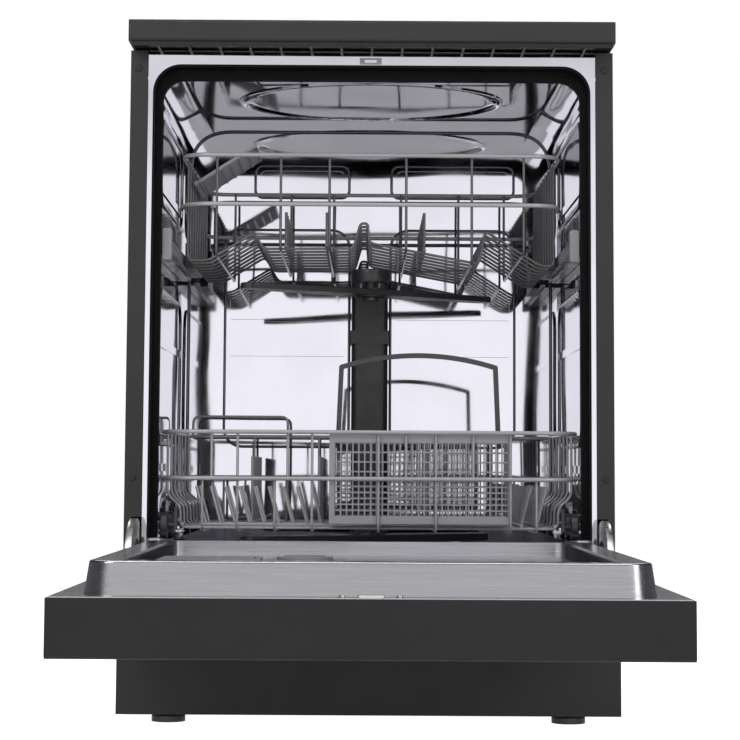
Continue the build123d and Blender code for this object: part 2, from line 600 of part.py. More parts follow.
LID_X = (DISP_X[0] + 4, SPLIT_X)
lid = block(*LID_X, DISP_Y[0] + 4, DISP_Y[1] - 4, DISP_TOP - 3.9, DISP_TOP)
lid = fillet(lid.edges().filter_by(Axis.Z), 8)
lid_pin_z = DISP_TOP - 2
lid += rod((LID_X[0], DISP_Y[0] + 14, lid_pin_z), (LID_X[0], DISP_Y[1] - 14, lid_pin_z), 1.8)
lid += block(SPLIT_X - 40, SPLIT_X - 6, RINSE_Y - 14, RINSE_Y + 14, DISP_TOP - 1, DISP_TOP + 2)
save("dispenser_lid", lid)

rinse_cap = Location((RINSE_X, RINSE_Y, DISP_TOP + 0.1)) * Cylinder(RINSE_R, 4)
rinse_cap += Location((RINSE_X, RINSE_Y, DISP_TOP - 4)) * Cylinder(RINSE_R - 6.3, 8)
rinse_cap += Location((RINSE_X, RINSE_Y, DISP_TOP + 2.5)) * Box(44, 6, 3)
save("rinse_aid_cap", rinse_cap)

# ---------------------------------------------------------------- lower basket
low_half = LOWER_W / 2
lower_rims = rim(low_half - RIM_R, LOWER_FRONT + RIM_R, LOWER_BACK, LOWER_RIM - RIM_R, BASKET_R, RIM_R)
lower_rims += rim(low_half - RIM_R, LOWER_FRONT + RIM_R, LOWER_BACK, LOWER_MID_RIM, BASKET_R, RIM_R)
save("lower_basket_rims", lower_rims)

in_off = RIM_R + WIRE_R + WELD
wall_x = low_half - RIM_R - in_off
wall_front = LOWER_FRONT + RIM_R + in_off
wall_back = LOWER_BACK - in_off
lateral_z = LOWER_BOTTOM
long_z = LOWER_BOTTOM - 2 * WIRE_R - WELD
JOG_X = 236.0
JOG_Z = 254.0
lower_wires = []
for y in [76 + 56 * i for i in range(7)]:
    lower_wires += mitred([(-wall_x, y, LOWER_RIM - 2), (-wall_x, y, JOG_Z + 10), (-JOG_X, y, JOG_Z),
                           (-JOG_X, y, lateral_z), (JOG_X, y, lateral_z), (JOG_X, y, JOG_Z),
                           (wall_x, y, JOG_Z + 10), (wall_x, y, LOWER_RIM - 2)], WIRE_R)
for x in (-163, -71, 11, 82, 174):
    lower_wires += mitred([(x, wall_front, LOWER_RIM - 2), (x, wall_front, long_z), (x, wall_back, long_z),
                           (x, wall_back, LOWER_RIM - 2)], WIRE_R)
for x in (-206, -117, 206):
    lower_wires += mitred([(x, wall_front, LOWER_MID_RIM + 2), (x, wall_front, long_z),
                           (x, wall_back, long_z), (x, wall_back, LOWER_MID_RIM + 2)], WIRE_R)
lower_wires += [rod((x, wall_front, LOWER_MID_RIM - 2), (x, wall_front, LOWER_RIM - 2), WIRE_R)
                for x in (-195, -101, 45, 128)]
save("lower_basket_wires", lower_wires)

TINE_Z = LOWER_BOTTOM + WIRE_R + WELD
TINE_TOP = 315.0


def tine(x, y, z0, z1, lean_x=0.0, lean_y=0.0):
    """One plate tine, with its foot at (x, y, z0)."""
    clear = 0.6 if lean_x or lean_y else 0.0
    return rod((x, y, z0 + clear), (x + lean_x, y + lean_y, z1), TINE_R)


tines = []
for y in (84.0, 142.0):
    row_z = TINE_Z + TINE_R
    if y > 100:
        tines.append(rod((-212, y, row_z), (-60, y, row_z), TINE_R))
        xs = [-204 + 18.1 * i for i in range(8)]
    else:
        tines.append(rod((-212, y, row_z), (-55, y, row_z), TINE_R))
        xs = [-204 + 18.1 * i for i in range(9)]
    tines += [tine(x, y, row_z + TINE_R + WELD, 277, -13) for x in xs]
for x in (190.0, 210.0):
    tines.append(rod((x, 75, TINE_Z + TINE_R), (x, 430, TINE_Z + TINE_R), TINE_R))
    tines += [tine(x, 84 + 29 * i, TINE_Z + 2 * TINE_R + WELD, 278, 13) for i in range(12)]
tines.append(rod((-152, 185, TINE_Z + TINE_R), (-152, 440, TINE_Z + TINE_R), TINE_R))
tines += [tine(-152, 195 + 29 * i, TINE_Z + 2 * TINE_R + WELD, TINE_TOP, 0, -6) for i in range(9)]
loop_z = 372.0
loop_y = LOWER_BACK - RIM_R - 2 * WIRE_R - 16
tines += mitred([(-249, loop_y, LOWER_RIM + 0.1), (-249, loop_y, loop_z), (-115, loop_y, loop_z),
                 (-115, loop_y, TINE_Z + 12)], TINE_R)
save("lower_tines", tines)

# Hinged tine row that lays over for large pans
FOLD_X = -65.0
FOLD_Z = TINE_Z + TINE_R
folding = [rod((FOLD_X, 185, FOLD_Z), (FOLD_X, 440, FOLD_Z), TINE_R)]
folding += [tine(FOLD_X, 195 + 29 * i, FOLD_Z + TINE_R + WELD, TINE_TOP) for i in range(9)]
save("folding_tines", folding)

WHEEL_X = (249.0, 258.0)
wheel_z = TRACK_Z + WHEEL_R


def wheel(y):
    """One roller of the lower basket with its hub and rounded tread."""
    centre = Location(((WHEEL_X[0] + WHEEL_X[1]) / 2, y, wheel_z)) * Rotation(0, 90, 0)
    disc = centre * Cylinder(WHEEL_R, WHEEL_X[1] - WHEEL_X[0])
    disc = fillet(disc.edges(), 1.5)
    disc -= centre * Location((0, 0, 3.5)) * (Cylinder(WHEEL_R - 4, 3) - Cylinder(6, 3))
    return disc - centre * Cylinder(AXLE_R + RUN, 20)


for label, y in zip(("front", "middle", "rear"), WHEELS_Y):
    save(f"lower_wheels_{label}", pair(wheel(y)))

carriers = []
for y in WHEELS_Y:
    axle = rod((JOG_X + 4, y, wheel_z), (WHEEL_X[1] + 1, y, wheel_z), AXLE_R)
    axle += rod((WHEEL_X[1] + 0.5, y, wheel_z), (WHEEL_X[1] + 2, y, wheel_z), AXLE_R + 1.5)
    clip = block(JOG_X + WIRE_R + WELD, JOG_X + 5, y - 6, y + 6, wheel_z - 6, JOG_Z - 3)
    carriers += pair(axle + clip)
save("wheel_carriers", carriers)

# Cutlery basket
CUT_X = (-50.0, 175.0)
CUT_Y = (36.0, 130.0)
CUT_Z = (232.0, 344.0)
CUT_WALL = 2.5


def grille(width, height, pitch_x, pitch_z, bar):
    """Flat lattice of square openings with a solid frame."""
    nx = int((width - 12) // pitch_x)
    nz = int((height - 12) // pitch_z)
    sheet = Rectangle(width, height)
    holes = Sketch() + [loc * Rectangle(pitch_x - bar, pitch_z - bar)
                        for loc in GridLocations(pitch_x, pitch_z, nx, nz)]
    return sheet - holes


cut_w = CUT_X[1] - CUT_X[0]
cut_d = CUT_Y[1] - CUT_Y[0]
cut_h = CUT_Z[1] - CUT_Z[0]
cut_mid_x = (CUT_X[0] + CUT_X[1]) / 2
cut_mid_y = (CUT_Y[0] + CUT_Y[1]) / 2
long_wall = grille(cut_w, cut_h, 14.9, 14.9, 3)
short_wall = grille(cut_d - 2 * CUT_WALL - 0.2, cut_h, 14.9, 14.9, 3)
cutlery = []
for y in (CUT_Y[0], CUT_Y[1] - CUT_WALL):
    wall_plane = Plane(origin=(cut_mid_x, y + CUT_WALL, CUT_Z[0] + cut_h / 2), x_dir=(1, 0, 0),
                       z_dir=(0, -1, 0))
    cutlery.append(extrude(wall_plane * long_wall, CUT_WALL))
for x in (CUT_X[0], CUT_X[1] - CUT_WALL, cut_mid_x - 30, cut_mid_x + 30):
    wall_plane = Plane(origin=(x, cut_mid_y, CUT_Z[0] + cut_h / 2), x_dir=(0, 1, 0), z_dir=(1, 0, 0))
    cutlery.append(extrude(wall_plane * short_wall, CUT_WALL))
for x0, x1 in ((CUT_X[0] + CUT_WALL, cut_mid_x - 30), (cut_mid_x - 30 + CUT_WALL, cut_mid_x + 30),
               (cut_mid_x + 30 + CUT_WALL, CUT_X[1] - CUT_WALL)):
    cell = grille(x1 - x0 - 0.2, cut_d - 2 * CUT_WALL - 0.2, 9, 9, 3)
    cutlery.append(extrude(Plane(origin=((x0 + x1) / 2, cut_mid_y, CUT_Z[0])) * cell, 2.5))
HANDLE_Z = 336.0
HANDLE_X = (-40.0, 162.0)
for x, reach in ((HANDLE_X[0], CUT_X[0] + CUT_WALL), (HANDLE_X[1], CUT_X[1] - CUT_WALL)):
    inner = x + math.copysign(5, cut_mid_x - x)
    cutlery.append(rod((reach, cut_mid_y, HANDLE_Z), (inner, cut_mid_y, HANDLE_Z), 3))
save("cutlery_basket", cutlery)

HANDLE_SHOULDER = 427.0
HANDLE_APEX = 445.0
HANDLE_R = 3.0
handle_mid = (HANDLE_X[0] + HANDLE_X[1]) / 2
lean = 4.0
left_foot = (HANDLE_X[0], HANDLE_Z - 8)
left_top = (HANDLE_X[0] + lean, HANDLE_SHOULDER)
right_top = (HANDLE_X[1] - lean, HANDLE_SHOULDER)
right_foot = (HANDLE_X[1], HANDLE_Z - 8)
front_plane = Plane(origin=(0, cut_mid_y + 4, 0), x_dir=(1, 0, 0), z_dir=(0, -1, 0))
bow = ThreePointArc(left_top, (handle_mid, HANDLE_APEX - HANDLE_R), right_top)
outer_line = offset(Wire([Line(left_foot, left_top), bow, Line(right_top, right_foot)]), HANDLE_R,
                    side=Side.BOTH)
handle = extrude(front_plane * make_face(outer_line), 8)
for x in HANDLE_X:
    handle -= rod((x - 12, cut_mid_y, HANDLE_Z), (x + 12, cut_mid_y, HANDLE_Z), HANDLE_R + RUN)
save("cutlery_handle", handle)

# ---------------------------------------------------------------- upper basket
up_half = UPPER_W / 2
upper_rims = rim(up_half, UPPER_FRONT, UPPER_BACK, UPPER_RIM, BASKET_R - 10, RIM_R)
upper_rims += rim(up_half, UPPER_FRONT, UPPER_BACK, UPPER_MID_RIM, BASKET_R - 10, RIM_R)
save("upper_basket_rims", upper_rims)

up_x = up_half - in_off
PROFILE = [(-up_x, 688), (-up_x, 561), (-205, 561), (-148, 596), (-136, 576), (-22, 577), (-13, 609),
           (-4, 609), (-2, 584), (137, 558), (145, 600), (215, 556), (up_x, 556), (up_x, 688)]
upper_wires = []
for y in [80 + 42 * i for i in range(9)]:
    upper_wires += mitred([(x, y, z) for x, z in PROFILE], WIRE_R)
up_front = UPPER_FRONT + in_off
up_back = UPPER_BACK - in_off


def profile_height(x):
    """Underside of the lateral wires at x."""
    for (x0, z0), (x1, z1) in zip(PROFILE[1:-1], PROFILE[2:-1]):
        if x0 <= x <= x1:
            return z0 + (z1 - z0) * (x - x0) / (x1 - x0)
    return PROFILE[1][1]


LONG_XS = (-193, -113, -52, 44, 126, 191)
for x in LONG_XS:
    z = profile_height(x) - 2 * WIRE_R - 1.4
    upper_wires += mitred([(x, up_front, 688), (x, up_front, z), (x, up_back, z), (x, up_back, 688)], WIRE_R)
for x in (-108, -56, 68):
    base_z = profile_height(x) + WIRE_R + TINE_R + 0.6
    upper_wires.append(rod((x, 72, base_z), (x, 424, base_z), TINE_R))
    upper_wires += [tine(x, 101 + 42 * i, base_z + TINE_R + WELD, 625) for i in range(8)]
save("upper_basket_wires", upper_wires)

# Cup shelf hinged on the basket's left side
SHELF_L = 88.0
SHELF_T = 3.0


def cup_shelf(y0, y1):
    """Slotted shelf hinged at its outer edge, lying level before it is tilted."""
    length = y1 - y0
    face = Rectangle(SHELF_L, length)
    slots = [Pos(8, y) * Rectangle(SHELF_L - 30, 7)
             for y in [-length / 2 + 12 + 14 * i for i in range(int((length - 16) // 14))]]
    face -= Sketch() + slots
    shelf = extrude(face, SHELF_T).moved(Location((SHELF_L / 2 + 5, (y0 + y1) / 2, 0)))
    for y in (y0 + 6, y1 - 6):
        shelf += Location((3, y, SHELF_T / 2)) * Box(8, 8, SHELF_T)
    shelf += rod((0, y0, SHELF_T / 2), (0, y1, SHELF_T / 2), 3)
    return shelf


SHELF_Z = 662.0
SHELF_X = up_x - 8.0
SHELF_TILT = 33.0
shelf_left = cup_shelf(112, 252).moved(Location((-SHELF_X, 0, SHELF_Z)) * Rotation(0, -SHELF_TILT, 0))
save("cup_shelf_left", shelf_left)

# Feed tube and spray arm under the upper basket
UP_ARM_Y = 262.0
feed = block(-14, 14, UP_ARM_Y - 18, TUB_BACK - 30 - 1.5, 548, 566)
feed = fillet(feed.edges().filter_by(Axis.Y), 5)
feed += Location((0, UP_ARM_Y, 557)) * Cylinder(26, 16)
feed += Location((0, UP_ARM_Y, 541)) * Cylinder(HUB_R - RUN, 28)
feed += Location((0, UP_ARM_Y, 526)) * Cylinder(12, 5)
save("feed_tube", feed)
upper_arm = spray_arm(UPPER_ARM_L, 530.5, 8, 14, ARM_TURN - 2, 20, UP_ARM_Y, HUB_R)
save("upper_spray_arm", upper_arm)

# Telescopic rails
RAIL_Y = (48.0, 474.0)
rail_low, rail_high = RAIL_Z - RAIL_H / 2, RAIL_Z + RAIL_H / 2
RAIL_X = (251.0, 260.2, 267.5, 270.5)
fixed = block(RAIL_X[1] - 3, RAIL_X[3], RAIL_Y[0] + 12, RAIL_Y[1], rail_low, rail_high)
fixed -= block(RAIL_X[1] - 5, RAIL_X[2], RAIL_Y[0] - 20, RAIL_Y[1] + 10, rail_low + 4, rail_high - 4)
save("upper_rails_fixed", pair(fixed))
slider = block(RAIL_X[0], RAIL_X[1], RAIL_Y[0] + 12, RAIL_Y[1] - 6, rail_low + 4.5, rail_high - 4.5)
save("upper_rails_sliding", pair(slider))
end_cap = block(RAIL_X[0] - 2, RAIL_X[1], RAIL_Y[0] - 8, RAIL_Y[0] + 11.8, RAIL_Z - 20, RAIL_Z + 20)
end_cap = fillet(end_cap.edges().filter_by(Axis.Y), 3)
save("rail_end_caps", pair(end_cap))
hanger_x = RAIL_X[0] - 0.5
hanger = block(up_half + RIM_R + 0.3, hanger_x, 280, 440, RAIL_Z - 10, RAIL_Z + 24)
hanger += block(up_half - 1, hanger_x, 300, 420, RAIL_Z + 20, RAIL_Z + 44)
save("basket_hangers", pair(hanger))
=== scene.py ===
"""Looks of the dishwasher: materials, bent-wire racks, lights and camera round the fixed CAD frame."""
import json
import math

import bmesh
import bpy
from mathutils import Matrix, Vector


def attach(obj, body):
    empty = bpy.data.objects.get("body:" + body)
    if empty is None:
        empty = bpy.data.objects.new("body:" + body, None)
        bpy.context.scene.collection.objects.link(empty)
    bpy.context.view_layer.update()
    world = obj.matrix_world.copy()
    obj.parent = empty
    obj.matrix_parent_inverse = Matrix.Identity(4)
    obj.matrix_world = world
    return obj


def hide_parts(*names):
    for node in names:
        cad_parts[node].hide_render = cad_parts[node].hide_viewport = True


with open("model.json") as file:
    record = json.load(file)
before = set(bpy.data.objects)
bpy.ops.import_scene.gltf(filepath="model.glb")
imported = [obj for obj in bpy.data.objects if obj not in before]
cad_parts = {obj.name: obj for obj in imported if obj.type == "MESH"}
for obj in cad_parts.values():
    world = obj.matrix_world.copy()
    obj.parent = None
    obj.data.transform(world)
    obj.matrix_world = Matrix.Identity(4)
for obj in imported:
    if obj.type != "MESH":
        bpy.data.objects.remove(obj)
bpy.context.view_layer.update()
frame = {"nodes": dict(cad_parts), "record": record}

NODES = frame["nodes"]
MM = 0.001


# ---------------------------------------------------------------- camera
# Metres, radians and, for the lens and its sensor, millimetres
CAMERA_BACK = 2.756
CAMERA_HEIGHT = 0.2983
CAMERA_X = -0.0064
PITCH = math.radians(5.741)
YAW = math.radians(0.096)
ROLL = math.radians(0.322)
LENS = 112.48
SENSOR = 36
CLIP_END = 50
SHIFT = (0.0005, -0.1792)


def make_camera():
    """Long lens at knee height in front of the open door, tipped up a little."""
    forward = Vector((math.sin(YAW) * math.cos(PITCH), math.cos(YAW) * math.cos(PITCH), math.sin(PITCH)))
    right = Vector((math.cos(YAW), -math.sin(YAW), 0))
    up = right.cross(forward)
    right_rolled = math.cos(ROLL) * right + math.sin(ROLL) * up
    up_rolled = math.cos(ROLL) * up - math.sin(ROLL) * right
    data = bpy.data.cameras.new("camera")
    data.lens = LENS
    data.sensor_width = SENSOR
    data.shift_x, data.shift_y = SHIFT
    data.clip_end = CLIP_END
    camera = bpy.data.objects.new("camera", data)
    rotation = Matrix((right_rolled, up_rolled, -forward)).transposed().to_4x4()
    camera.matrix_world = Matrix.Translation((CAMERA_X, -CAMERA_BACK, CAMERA_HEIGHT)) @ rotation
    bpy.context.scene.collection.objects.link(camera)
    bpy.context.scene.camera = camera


# ---------------------------------------------------------------- room
FLOOR_SIZE = 14


def area_light(name, location, target, size, power):
    """Soft rectangular light of that size and power in watts, aimed at the target."""
    data = bpy.data.lights.new(name, "AREA")
    data.shape = "RECTANGLE"
    data.size, data.size_y = size
    data.energy = power
    light = bpy.data.objects.new(name, data)
    light.location = location
    light.rotation_euler = (Vector(target) - Vector(location)).to_track_quat("-Z", "Y").to_euler()
    bpy.context.scene.collection.objects.link(light)
    return light


def make_world():
    """White backdrop for the eye, and a studio that darkens to the sides and back for reflections."""
    world = bpy.data.worlds.new("studio")
    world.use_nodes = True
    tree = world.node_tree
    seen = tree.nodes["Background"]
    seen.inputs["Color"].default_value = (1, 1, 1, 1)
    around = add(tree, "ShaderNodeBackground")
    coords = add(tree, "ShaderNodeTexCoord")
    split = add(tree, "ShaderNodeSeparateXYZ")
    tree.links.new(coords.outputs["Generated"], split.inputs["Vector"])
    frontal = ramp(tree, split.outputs["Y"], -0.55, -0.95, 0, 1)
    colour = tint(tree, frontal, (0.10, 0.10, 0.11), (1.15, 1.15, 1.18))
    tree.links.new(colour, around.inputs["Color"])
    tree.links.new(ramp(tree, split.outputs["Z"], 0.08, 0.24, 1.2, 0.62), around.inputs["Strength"])
    path = add(tree, "ShaderNodeLightPath")
    mix = add(tree, "ShaderNodeMixShader")
    tree.links.new(path.outputs["Is Camera Ray"], mix.inputs["Fac"])
    tree.links.new(around.outputs["Background"], mix.inputs[1])
    tree.links.new(seen.outputs["Background"], mix.inputs[2])
    tree.links.new(mix.outputs["Shader"], tree.nodes["World Output"].inputs["Surface"])
    bpy.context.scene.world = world


def make_room():
    """Pale floor and soft studio lights."""
    bpy.ops.mesh.primitive_plane_add(size=FLOOR_SIZE, location=(0, 0, 0))
    floor = bpy.context.object
    floor.name = "floor"
    floor.data.materials.append(floor_material())
    make_world()
    area_light("key", (-1.5, -2.4, 2.2), (0, 0, 0.4), (1.2, 1.0), 32)
    area_light("fill", (1.8, -2.2, 1.5), (0, 0, 0.4), (0.9, 1.4), 20)
    area_light("overhead", (0, -0.6, 2.6), (0, -0.2, 0), (2.2, 1.2), 30)
    low = area_light("low", (0, -2.5, 0.2), (0, -0.2, 0.08), (2.4, 0.3), 8)
    low.visible_glossy = False  # lights the plinth without showing in the tub's mirror
    area_light("back", (0, 2.6, 2.2), (0, 0.3, 0.6), (2.4, 0.8), 30)


# ---------------------------------------------------------------- materials
def new_material(name, colour, roughness, metallic=0.0, **sockets):
    """Principled material with uniform values set on its own sockets."""
    mat = bpy.data.materials.new(name)
    mat.use_nodes = True
    shader = mat.node_tree.nodes["Principled BSDF"]
    shader.inputs["Base Color"].default_value = (*colour, 1)
    shader.inputs["Roughness"].default_value = roughness
    shader.inputs["Metallic"].default_value = metallic
    for socket, value in sockets.items():
        shader.inputs[socket.replace("_", " ")].default_value = value
    return mat, mat.node_tree, shader


def add(tree, kind, **values):
    """Node of that kind, with named inputs and attributes set."""
    node = tree.nodes.new(kind)
    for key, value in values.items():
        if key in node.inputs:
            node.inputs[key].default_value = value
        else:
            setattr(node, key, value)
    return node


def noise(tree, scale, detail=3.0, stretch=(1, 1, 1), rough=0.5):
    """Noise in object space, stretched along the axes."""
    coords = add(tree, "ShaderNodeTexCoord")
    mapping = add(tree, "ShaderNodeMapping")
    mapping.inputs["Scale"].default_value = stretch
    texture = add(tree, "ShaderNodeTexNoise", Scale=scale, Detail=detail, Roughness=rough)
    tree.links.new(coords.outputs["Object"], mapping.inputs["Vector"])
    tree.links.new(mapping.outputs["Vector"], texture.inputs["Vector"])
    return texture.outputs["Fac"]


def ramp(tree, value, start, end, low, high):
    """Value between start and end mapped smoothly to between low and high."""
    node = add(tree, "ShaderNodeMapRange", interpolation_type="SMOOTHSTEP")
    for socket, number in zip(("From Min", "From Max", "To Min", "To Max"), (start, end, low, high)):
        node.inputs[socket].default_value = number
    tree.links.new(value, node.inputs["Value"])
    return node.outputs["Result"]


def spread(tree, value, low, high):
    """Noise, which stays near its middle, mapped between low and high."""
    return ramp(tree, value, 0.3, 0.7, low, high)


def tint(tree, value, dark, light):
    """Colour between dark and light."""
    node = add(tree, "ShaderNodeMix", data_type="RGBA")
    colours = [socket for socket in node.inputs if socket.type == "RGBA"]
    for socket, colour in zip(colours, (dark, light)):
        socket.default_value = (*colour, 1)
    tree.links.new(value, node.inputs["Factor"])
    return next(o for o in node.outputs if o.type == "RGBA")


def bump(tree, shader, value, strength, distance):
    """Bump from a height value."""
    node = add(tree, "ShaderNodeBump", Strength=strength, Distance=distance)
    tree.links.new(value, node.inputs["Height"])
    tree.links.new(node.outputs["Normal"], shader.inputs["Normal"])


def worn(tree, shader, base, amount):
    """Base colour that varies slowly over the surface by the share given as amount."""
    cloud = noise(tree, 9, 4)
    dark = tuple(c * (1 - amount) for c in base)
    light = tuple(min(1, c * (1 + amount)) for c in base)
    tree.links.new(tint(tree, spread(tree, cloud, 0, 1), dark, light), shader.inputs["Base Color"])


def painted(name, colour, roughness, grain=1400, shine=0.5):
    """Powder-coated sheet with a fine orange-peel texture."""
    mat, tree, shader = new_material(name, colour, roughness, Specular_IOR_Level=shine)
    worn(tree, shader, colour, 0.08)
    peel = noise(tree, grain, 2)
    bump(tree, shader, peel, 0.12, 0.0002)
    tree.links.new(spread(tree, noise(tree, 30, 4), roughness - 0.04, roughness + 0.05),
                   shader.inputs["Roughness"])
    return mat


def moulded(name, colour, roughness, grain=2200, depth=0.00012, shine=0.5):
    """Moulded plastic with a fine spark-eroded grain."""
    mat, tree, shader = new_material(name, colour, roughness, Specular_IOR_Level=shine)
    worn(tree, shader, colour, 0.07)
    bump(tree, shader, noise(tree, grain, 3), 0.18, depth)
    tree.links.new(spread(tree, noise(tree, 60, 3), roughness - 0.05, roughness + 0.06),
                   shader.inputs["Roughness"])
    return mat


def steel(name, colour, roughness, stretch, scale=260, depth=0.00006, amount=0.04, relief=0.15):
    """Steel with fine rolling marks along one axis."""
    mat, tree, shader = new_material(name, colour, roughness, 1.0)
    marks = noise(tree, scale, 6, stretch, 0.65)
    dark = tuple(c * (1 - amount) for c in colour)
    light = tuple(min(1, c * (1 + amount)) for c in colour)
    tree.links.new(tint(tree, spread(tree, marks, 0, 1), dark, light), shader.inputs["Base Color"])
    tree.links.new(spread(tree, marks, roughness * 0.8, roughness * 1.25), shader.inputs["Roughness"])
    bump(tree, shader, marks, relief, depth)
    return mat


# Metres in the row frame
OVAL_CENTRE = (0, 0.3735, 0.798)
OVAL_HALF = (0.18, 0.161)


def oval_height(tree):
    """1 inside the oval pressed in the tub's ceiling and 0 outside it, with a rounded shoulder."""
    coords = add(tree, "ShaderNodeTexCoord")
    mapping = add(tree, "ShaderNodeMapping", vector_type="TEXTURE")
    mapping.inputs["Location"].default_value = OVAL_CENTRE
    mapping.inputs["Scale"].default_value = (*OVAL_HALF, 1)
    length = add(tree, "ShaderNodeVectorMath", operation="LENGTH")
    tree.links.new(coords.outputs["Object"], mapping.inputs["Vector"])
    tree.links.new(mapping.outputs["Vector"], length.inputs[0])
    return ramp(tree, length.outputs["Value"], 0.88, 1.0, 1, 0)


def mirror_steel(name, colour, roughness, ripple_height):
    """Bright-annealed tub sheet: nearly a mirror, with slow ripples and the pressed oval of its ceiling."""
    mat, tree, shader = new_material(name, colour, roughness, 1.0)
    height = add(tree, "ShaderNodeMath", operation="MULTIPLY_ADD")
    tree.links.new(noise(tree, 3.5, 1, (1, 1, 1.4)), height.inputs[0])
    height.inputs[1].default_value = ripple_height
    tree.links.new(oval_height(tree), height.inputs[2])
    bump(tree, shader, height.outputs["Value"], 1.0, 0.004)
    haze = noise(tree, 14, 5)
    tree.links.new(spread(tree, haze, roughness * 0.7, roughness * 1.6), shader.inputs["Roughness"])
    tree.links.new(tint(tree, spread(tree, haze, 0, 1), tuple(c * 0.95 for c in colour), colour),
                   shader.inputs["Base Color"])
    return mat


def floor_material():
    """Matt studio floor that the eye sees as white, so that it joins the backdrop."""
    mat, tree, shader = new_material("floor_white", (0.8, 0.8, 0.8), 0.6, Emission_Color=(1, 1, 1, 1))
    path = add(tree, "ShaderNodeLightPath")
    glow = ramp(tree, path.outputs["Is Camera Ray"], 0, 1, 0.42, 1)
    tree.links.new(glow, shader.inputs["Emission Strength"])
    tree.links.new(tint(tree, noise(tree, 3, 2), (0.62, 0.62, 0.62), (0.66, 0.66, 0.66)),
                   shader.inputs["Base Color"])
    return mat


def make_materials():
    """One finish for each of the record's material slots, and a darker copy of the tub steel for its beads,
    which is painted shade.
    """
    return {
        "worktop_laminate": moulded("worktop_laminate", (0.021, 0.021, 0.0215), 0.5, 1100, 0.0002, 0.28),
        "graphite_metal": painted("graphite_metal", (0.019, 0.019, 0.0195), 0.42, shine=0.3),
        "graphite_plastic": moulded("graphite_plastic", (0.0115, 0.0115, 0.012), 0.45, shine=0.25),
        "stainless": steel("stainless", (0.47, 0.465, 0.485), 0.22, (0.02, 1, 1), scale=700, depth=0.00001,
                           amount=0.02, relief=0.04),
        "tub_steel": mirror_steel("tub_steel", (0.63, 0.62, 0.665), 0.035, 0.6),
        # Darker copy of the tub steel for the pressed beads: the darkness is painted shade in the grooves,
        # not a different metal.
        "painted_shade_bead_steel": steel("painted_shade_bead_steel", (0.11, 0.11, 0.125), 0.14, (1, 1, 1), 90),
        "rail_steel": steel("rail_steel", (0.2, 0.2, 0.21), 0.3, (1, 0.05, 1)),
        "zinc": steel("zinc", (0.62, 0.62, 0.6), 0.32, (1, 1, 1), 90),
        "black_rubber": moulded("black_rubber", (0.004, 0.004, 0.0045), 0.6, shine=0.12),
        "dark_plastic": moulded("dark_plastic", (0.03, 0.03, 0.033), 0.36),
        "light_plastic": moulded("light_plastic", (0.25, 0.25, 0.26), 0.42),
        "grey_plastic": moulded("grey_plastic", (0.22, 0.225, 0.235), 0.4),
        "white_plastic": moulded("white_plastic", (0.7, 0.7, 0.69), 0.4),
        "wire_coating": moulded("wire_coating", (0.29, 0.29, 0.30), 0.16, 900, 0.0001, 0.8),
        # The same coating as wire_coating, made darker for the upper basket's wires: the darkness is painted
        # shade.
        "dark_coating": moulded("dark_coating", (0.075, 0.075, 0.078), 0.2, 900, 0.0001, 0.7),
        "smoked_glass": moulded("smoked_glass", (0.01, 0.01, 0.012), 0.08, 600, 0.00002),
    }


MATERIALS = make_materials()


# ---------------------------------------------------------------- bent wire
# All in cabinet millimetres, with y = 0 on the front flange
SHIFT_Y = 78.5
RIM_R = 2.75
WIRE_R = 1.7
TINE_R = 1.9
COATED = "wire_coating"
LOOP_STEPS = 8


def place(x, y, z):
    """Cabinet millimetres as a point of the row frame, in metres."""
    return Vector((x, y + SHIFT_Y, z)) * MM


def bend(points, radius, steps=5):
    """Polyline with each inner corner rounded to the radius."""
    pts = [Vector(p) for p in points]
    path = [pts[0]]
    for before, corner, after in zip(pts, pts[1:], pts[2:]):
        back, ahead = before - corner, after - corner
        reach = min(radius, back.length / 2.2, ahead.length / 2.2)
        start, end = corner + back.normalized() * reach, corner + ahead.normalized() * reach
        for i in range(steps + 1):
            t = i / steps
            path.append(start * (1 - t) ** 2 + corner * (2 * t * (1 - t)) + end * t ** 2)
    path.append(pts[-1])
    return path


def loop(half_w, y0, y1, z, radius):
    """Closed rounded rectangle lying flat."""
    path = []
    for cx, cy, start in ((half_w - radius, y1 - radius, 0), (radius - half_w, y1 - radius, 90),
                          (radius - half_w, y0 + radius, 180), (half_w - radius, y0 + radius, 270)):
        for i in range(LOOP_STEPS + 1):
            turn = math.radians(start + 90 * i / LOOP_STEPS)
            path.append(Vector((cx + radius * math.cos(turn), cy + radius * math.sin(turn), z)))
    return path


def wirework(name, body, nodes, slot, runs, finish=None):
    """Round wire along each (points, radius, closed) run, in place of the CAD nodes named.

    The finish is the slot's own unless another is named.
    """
    data = bpy.data.curves.new(name, "CURVE")
    data.dimensions = "3D"
    data.bevel_depth = MM
    data.bevel_resolution = 3
    data.use_fill_caps = True
    for points, radius, closed in runs:
        spline = data.splines.new("POLY")
        spline.points.add(len(points) - 1)
        spline.use_cyclic_u = closed
        spline.use_smooth = True
        for target, point in zip(spline.points, points):
            target.co = (*place(*point), 1)
            target.radius = radius
    data.materials.append(MATERIALS[finish or slot])
    obj = bpy.data.objects.new(name, data)
    bpy.context.scene.collection.objects.link(obj)
    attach(obj, body)
    if nodes:
        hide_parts(*nodes)


LOWER_HALF = 257.25
LOWER_FRONT = 27.75
LOWER_BACK = 472.0
LOWER_RIM = 344.25
LOWER_MID = 287.0
LOWER_FLOOR = 225.75
TINE_ROW = 229.45
CORNER_R = 46.0
JOG_X = 236.0
INSIDE = 4.5
LATERALS_Y = [76 + 56 * i for i in range(7)]
LONGS = ((-206, LOWER_MID), (-163, LOWER_RIM), (-117, LOWER_MID), (-71, LOWER_RIM), (11, LOWER_RIM),
         (82, LOWER_RIM), (174, LOWER_RIM), (206, LOWER_MID))
RIM_TIES_X = (-195, -101, 45, 128)
PLATE_TINES_Y = [195 + 29 * i for i in range(9)]
PLATE_ROW_Y = (185, 440)
PLATE_TINE_TOP = 315
GUARD_Y = 450
GUARD_TOP = 372


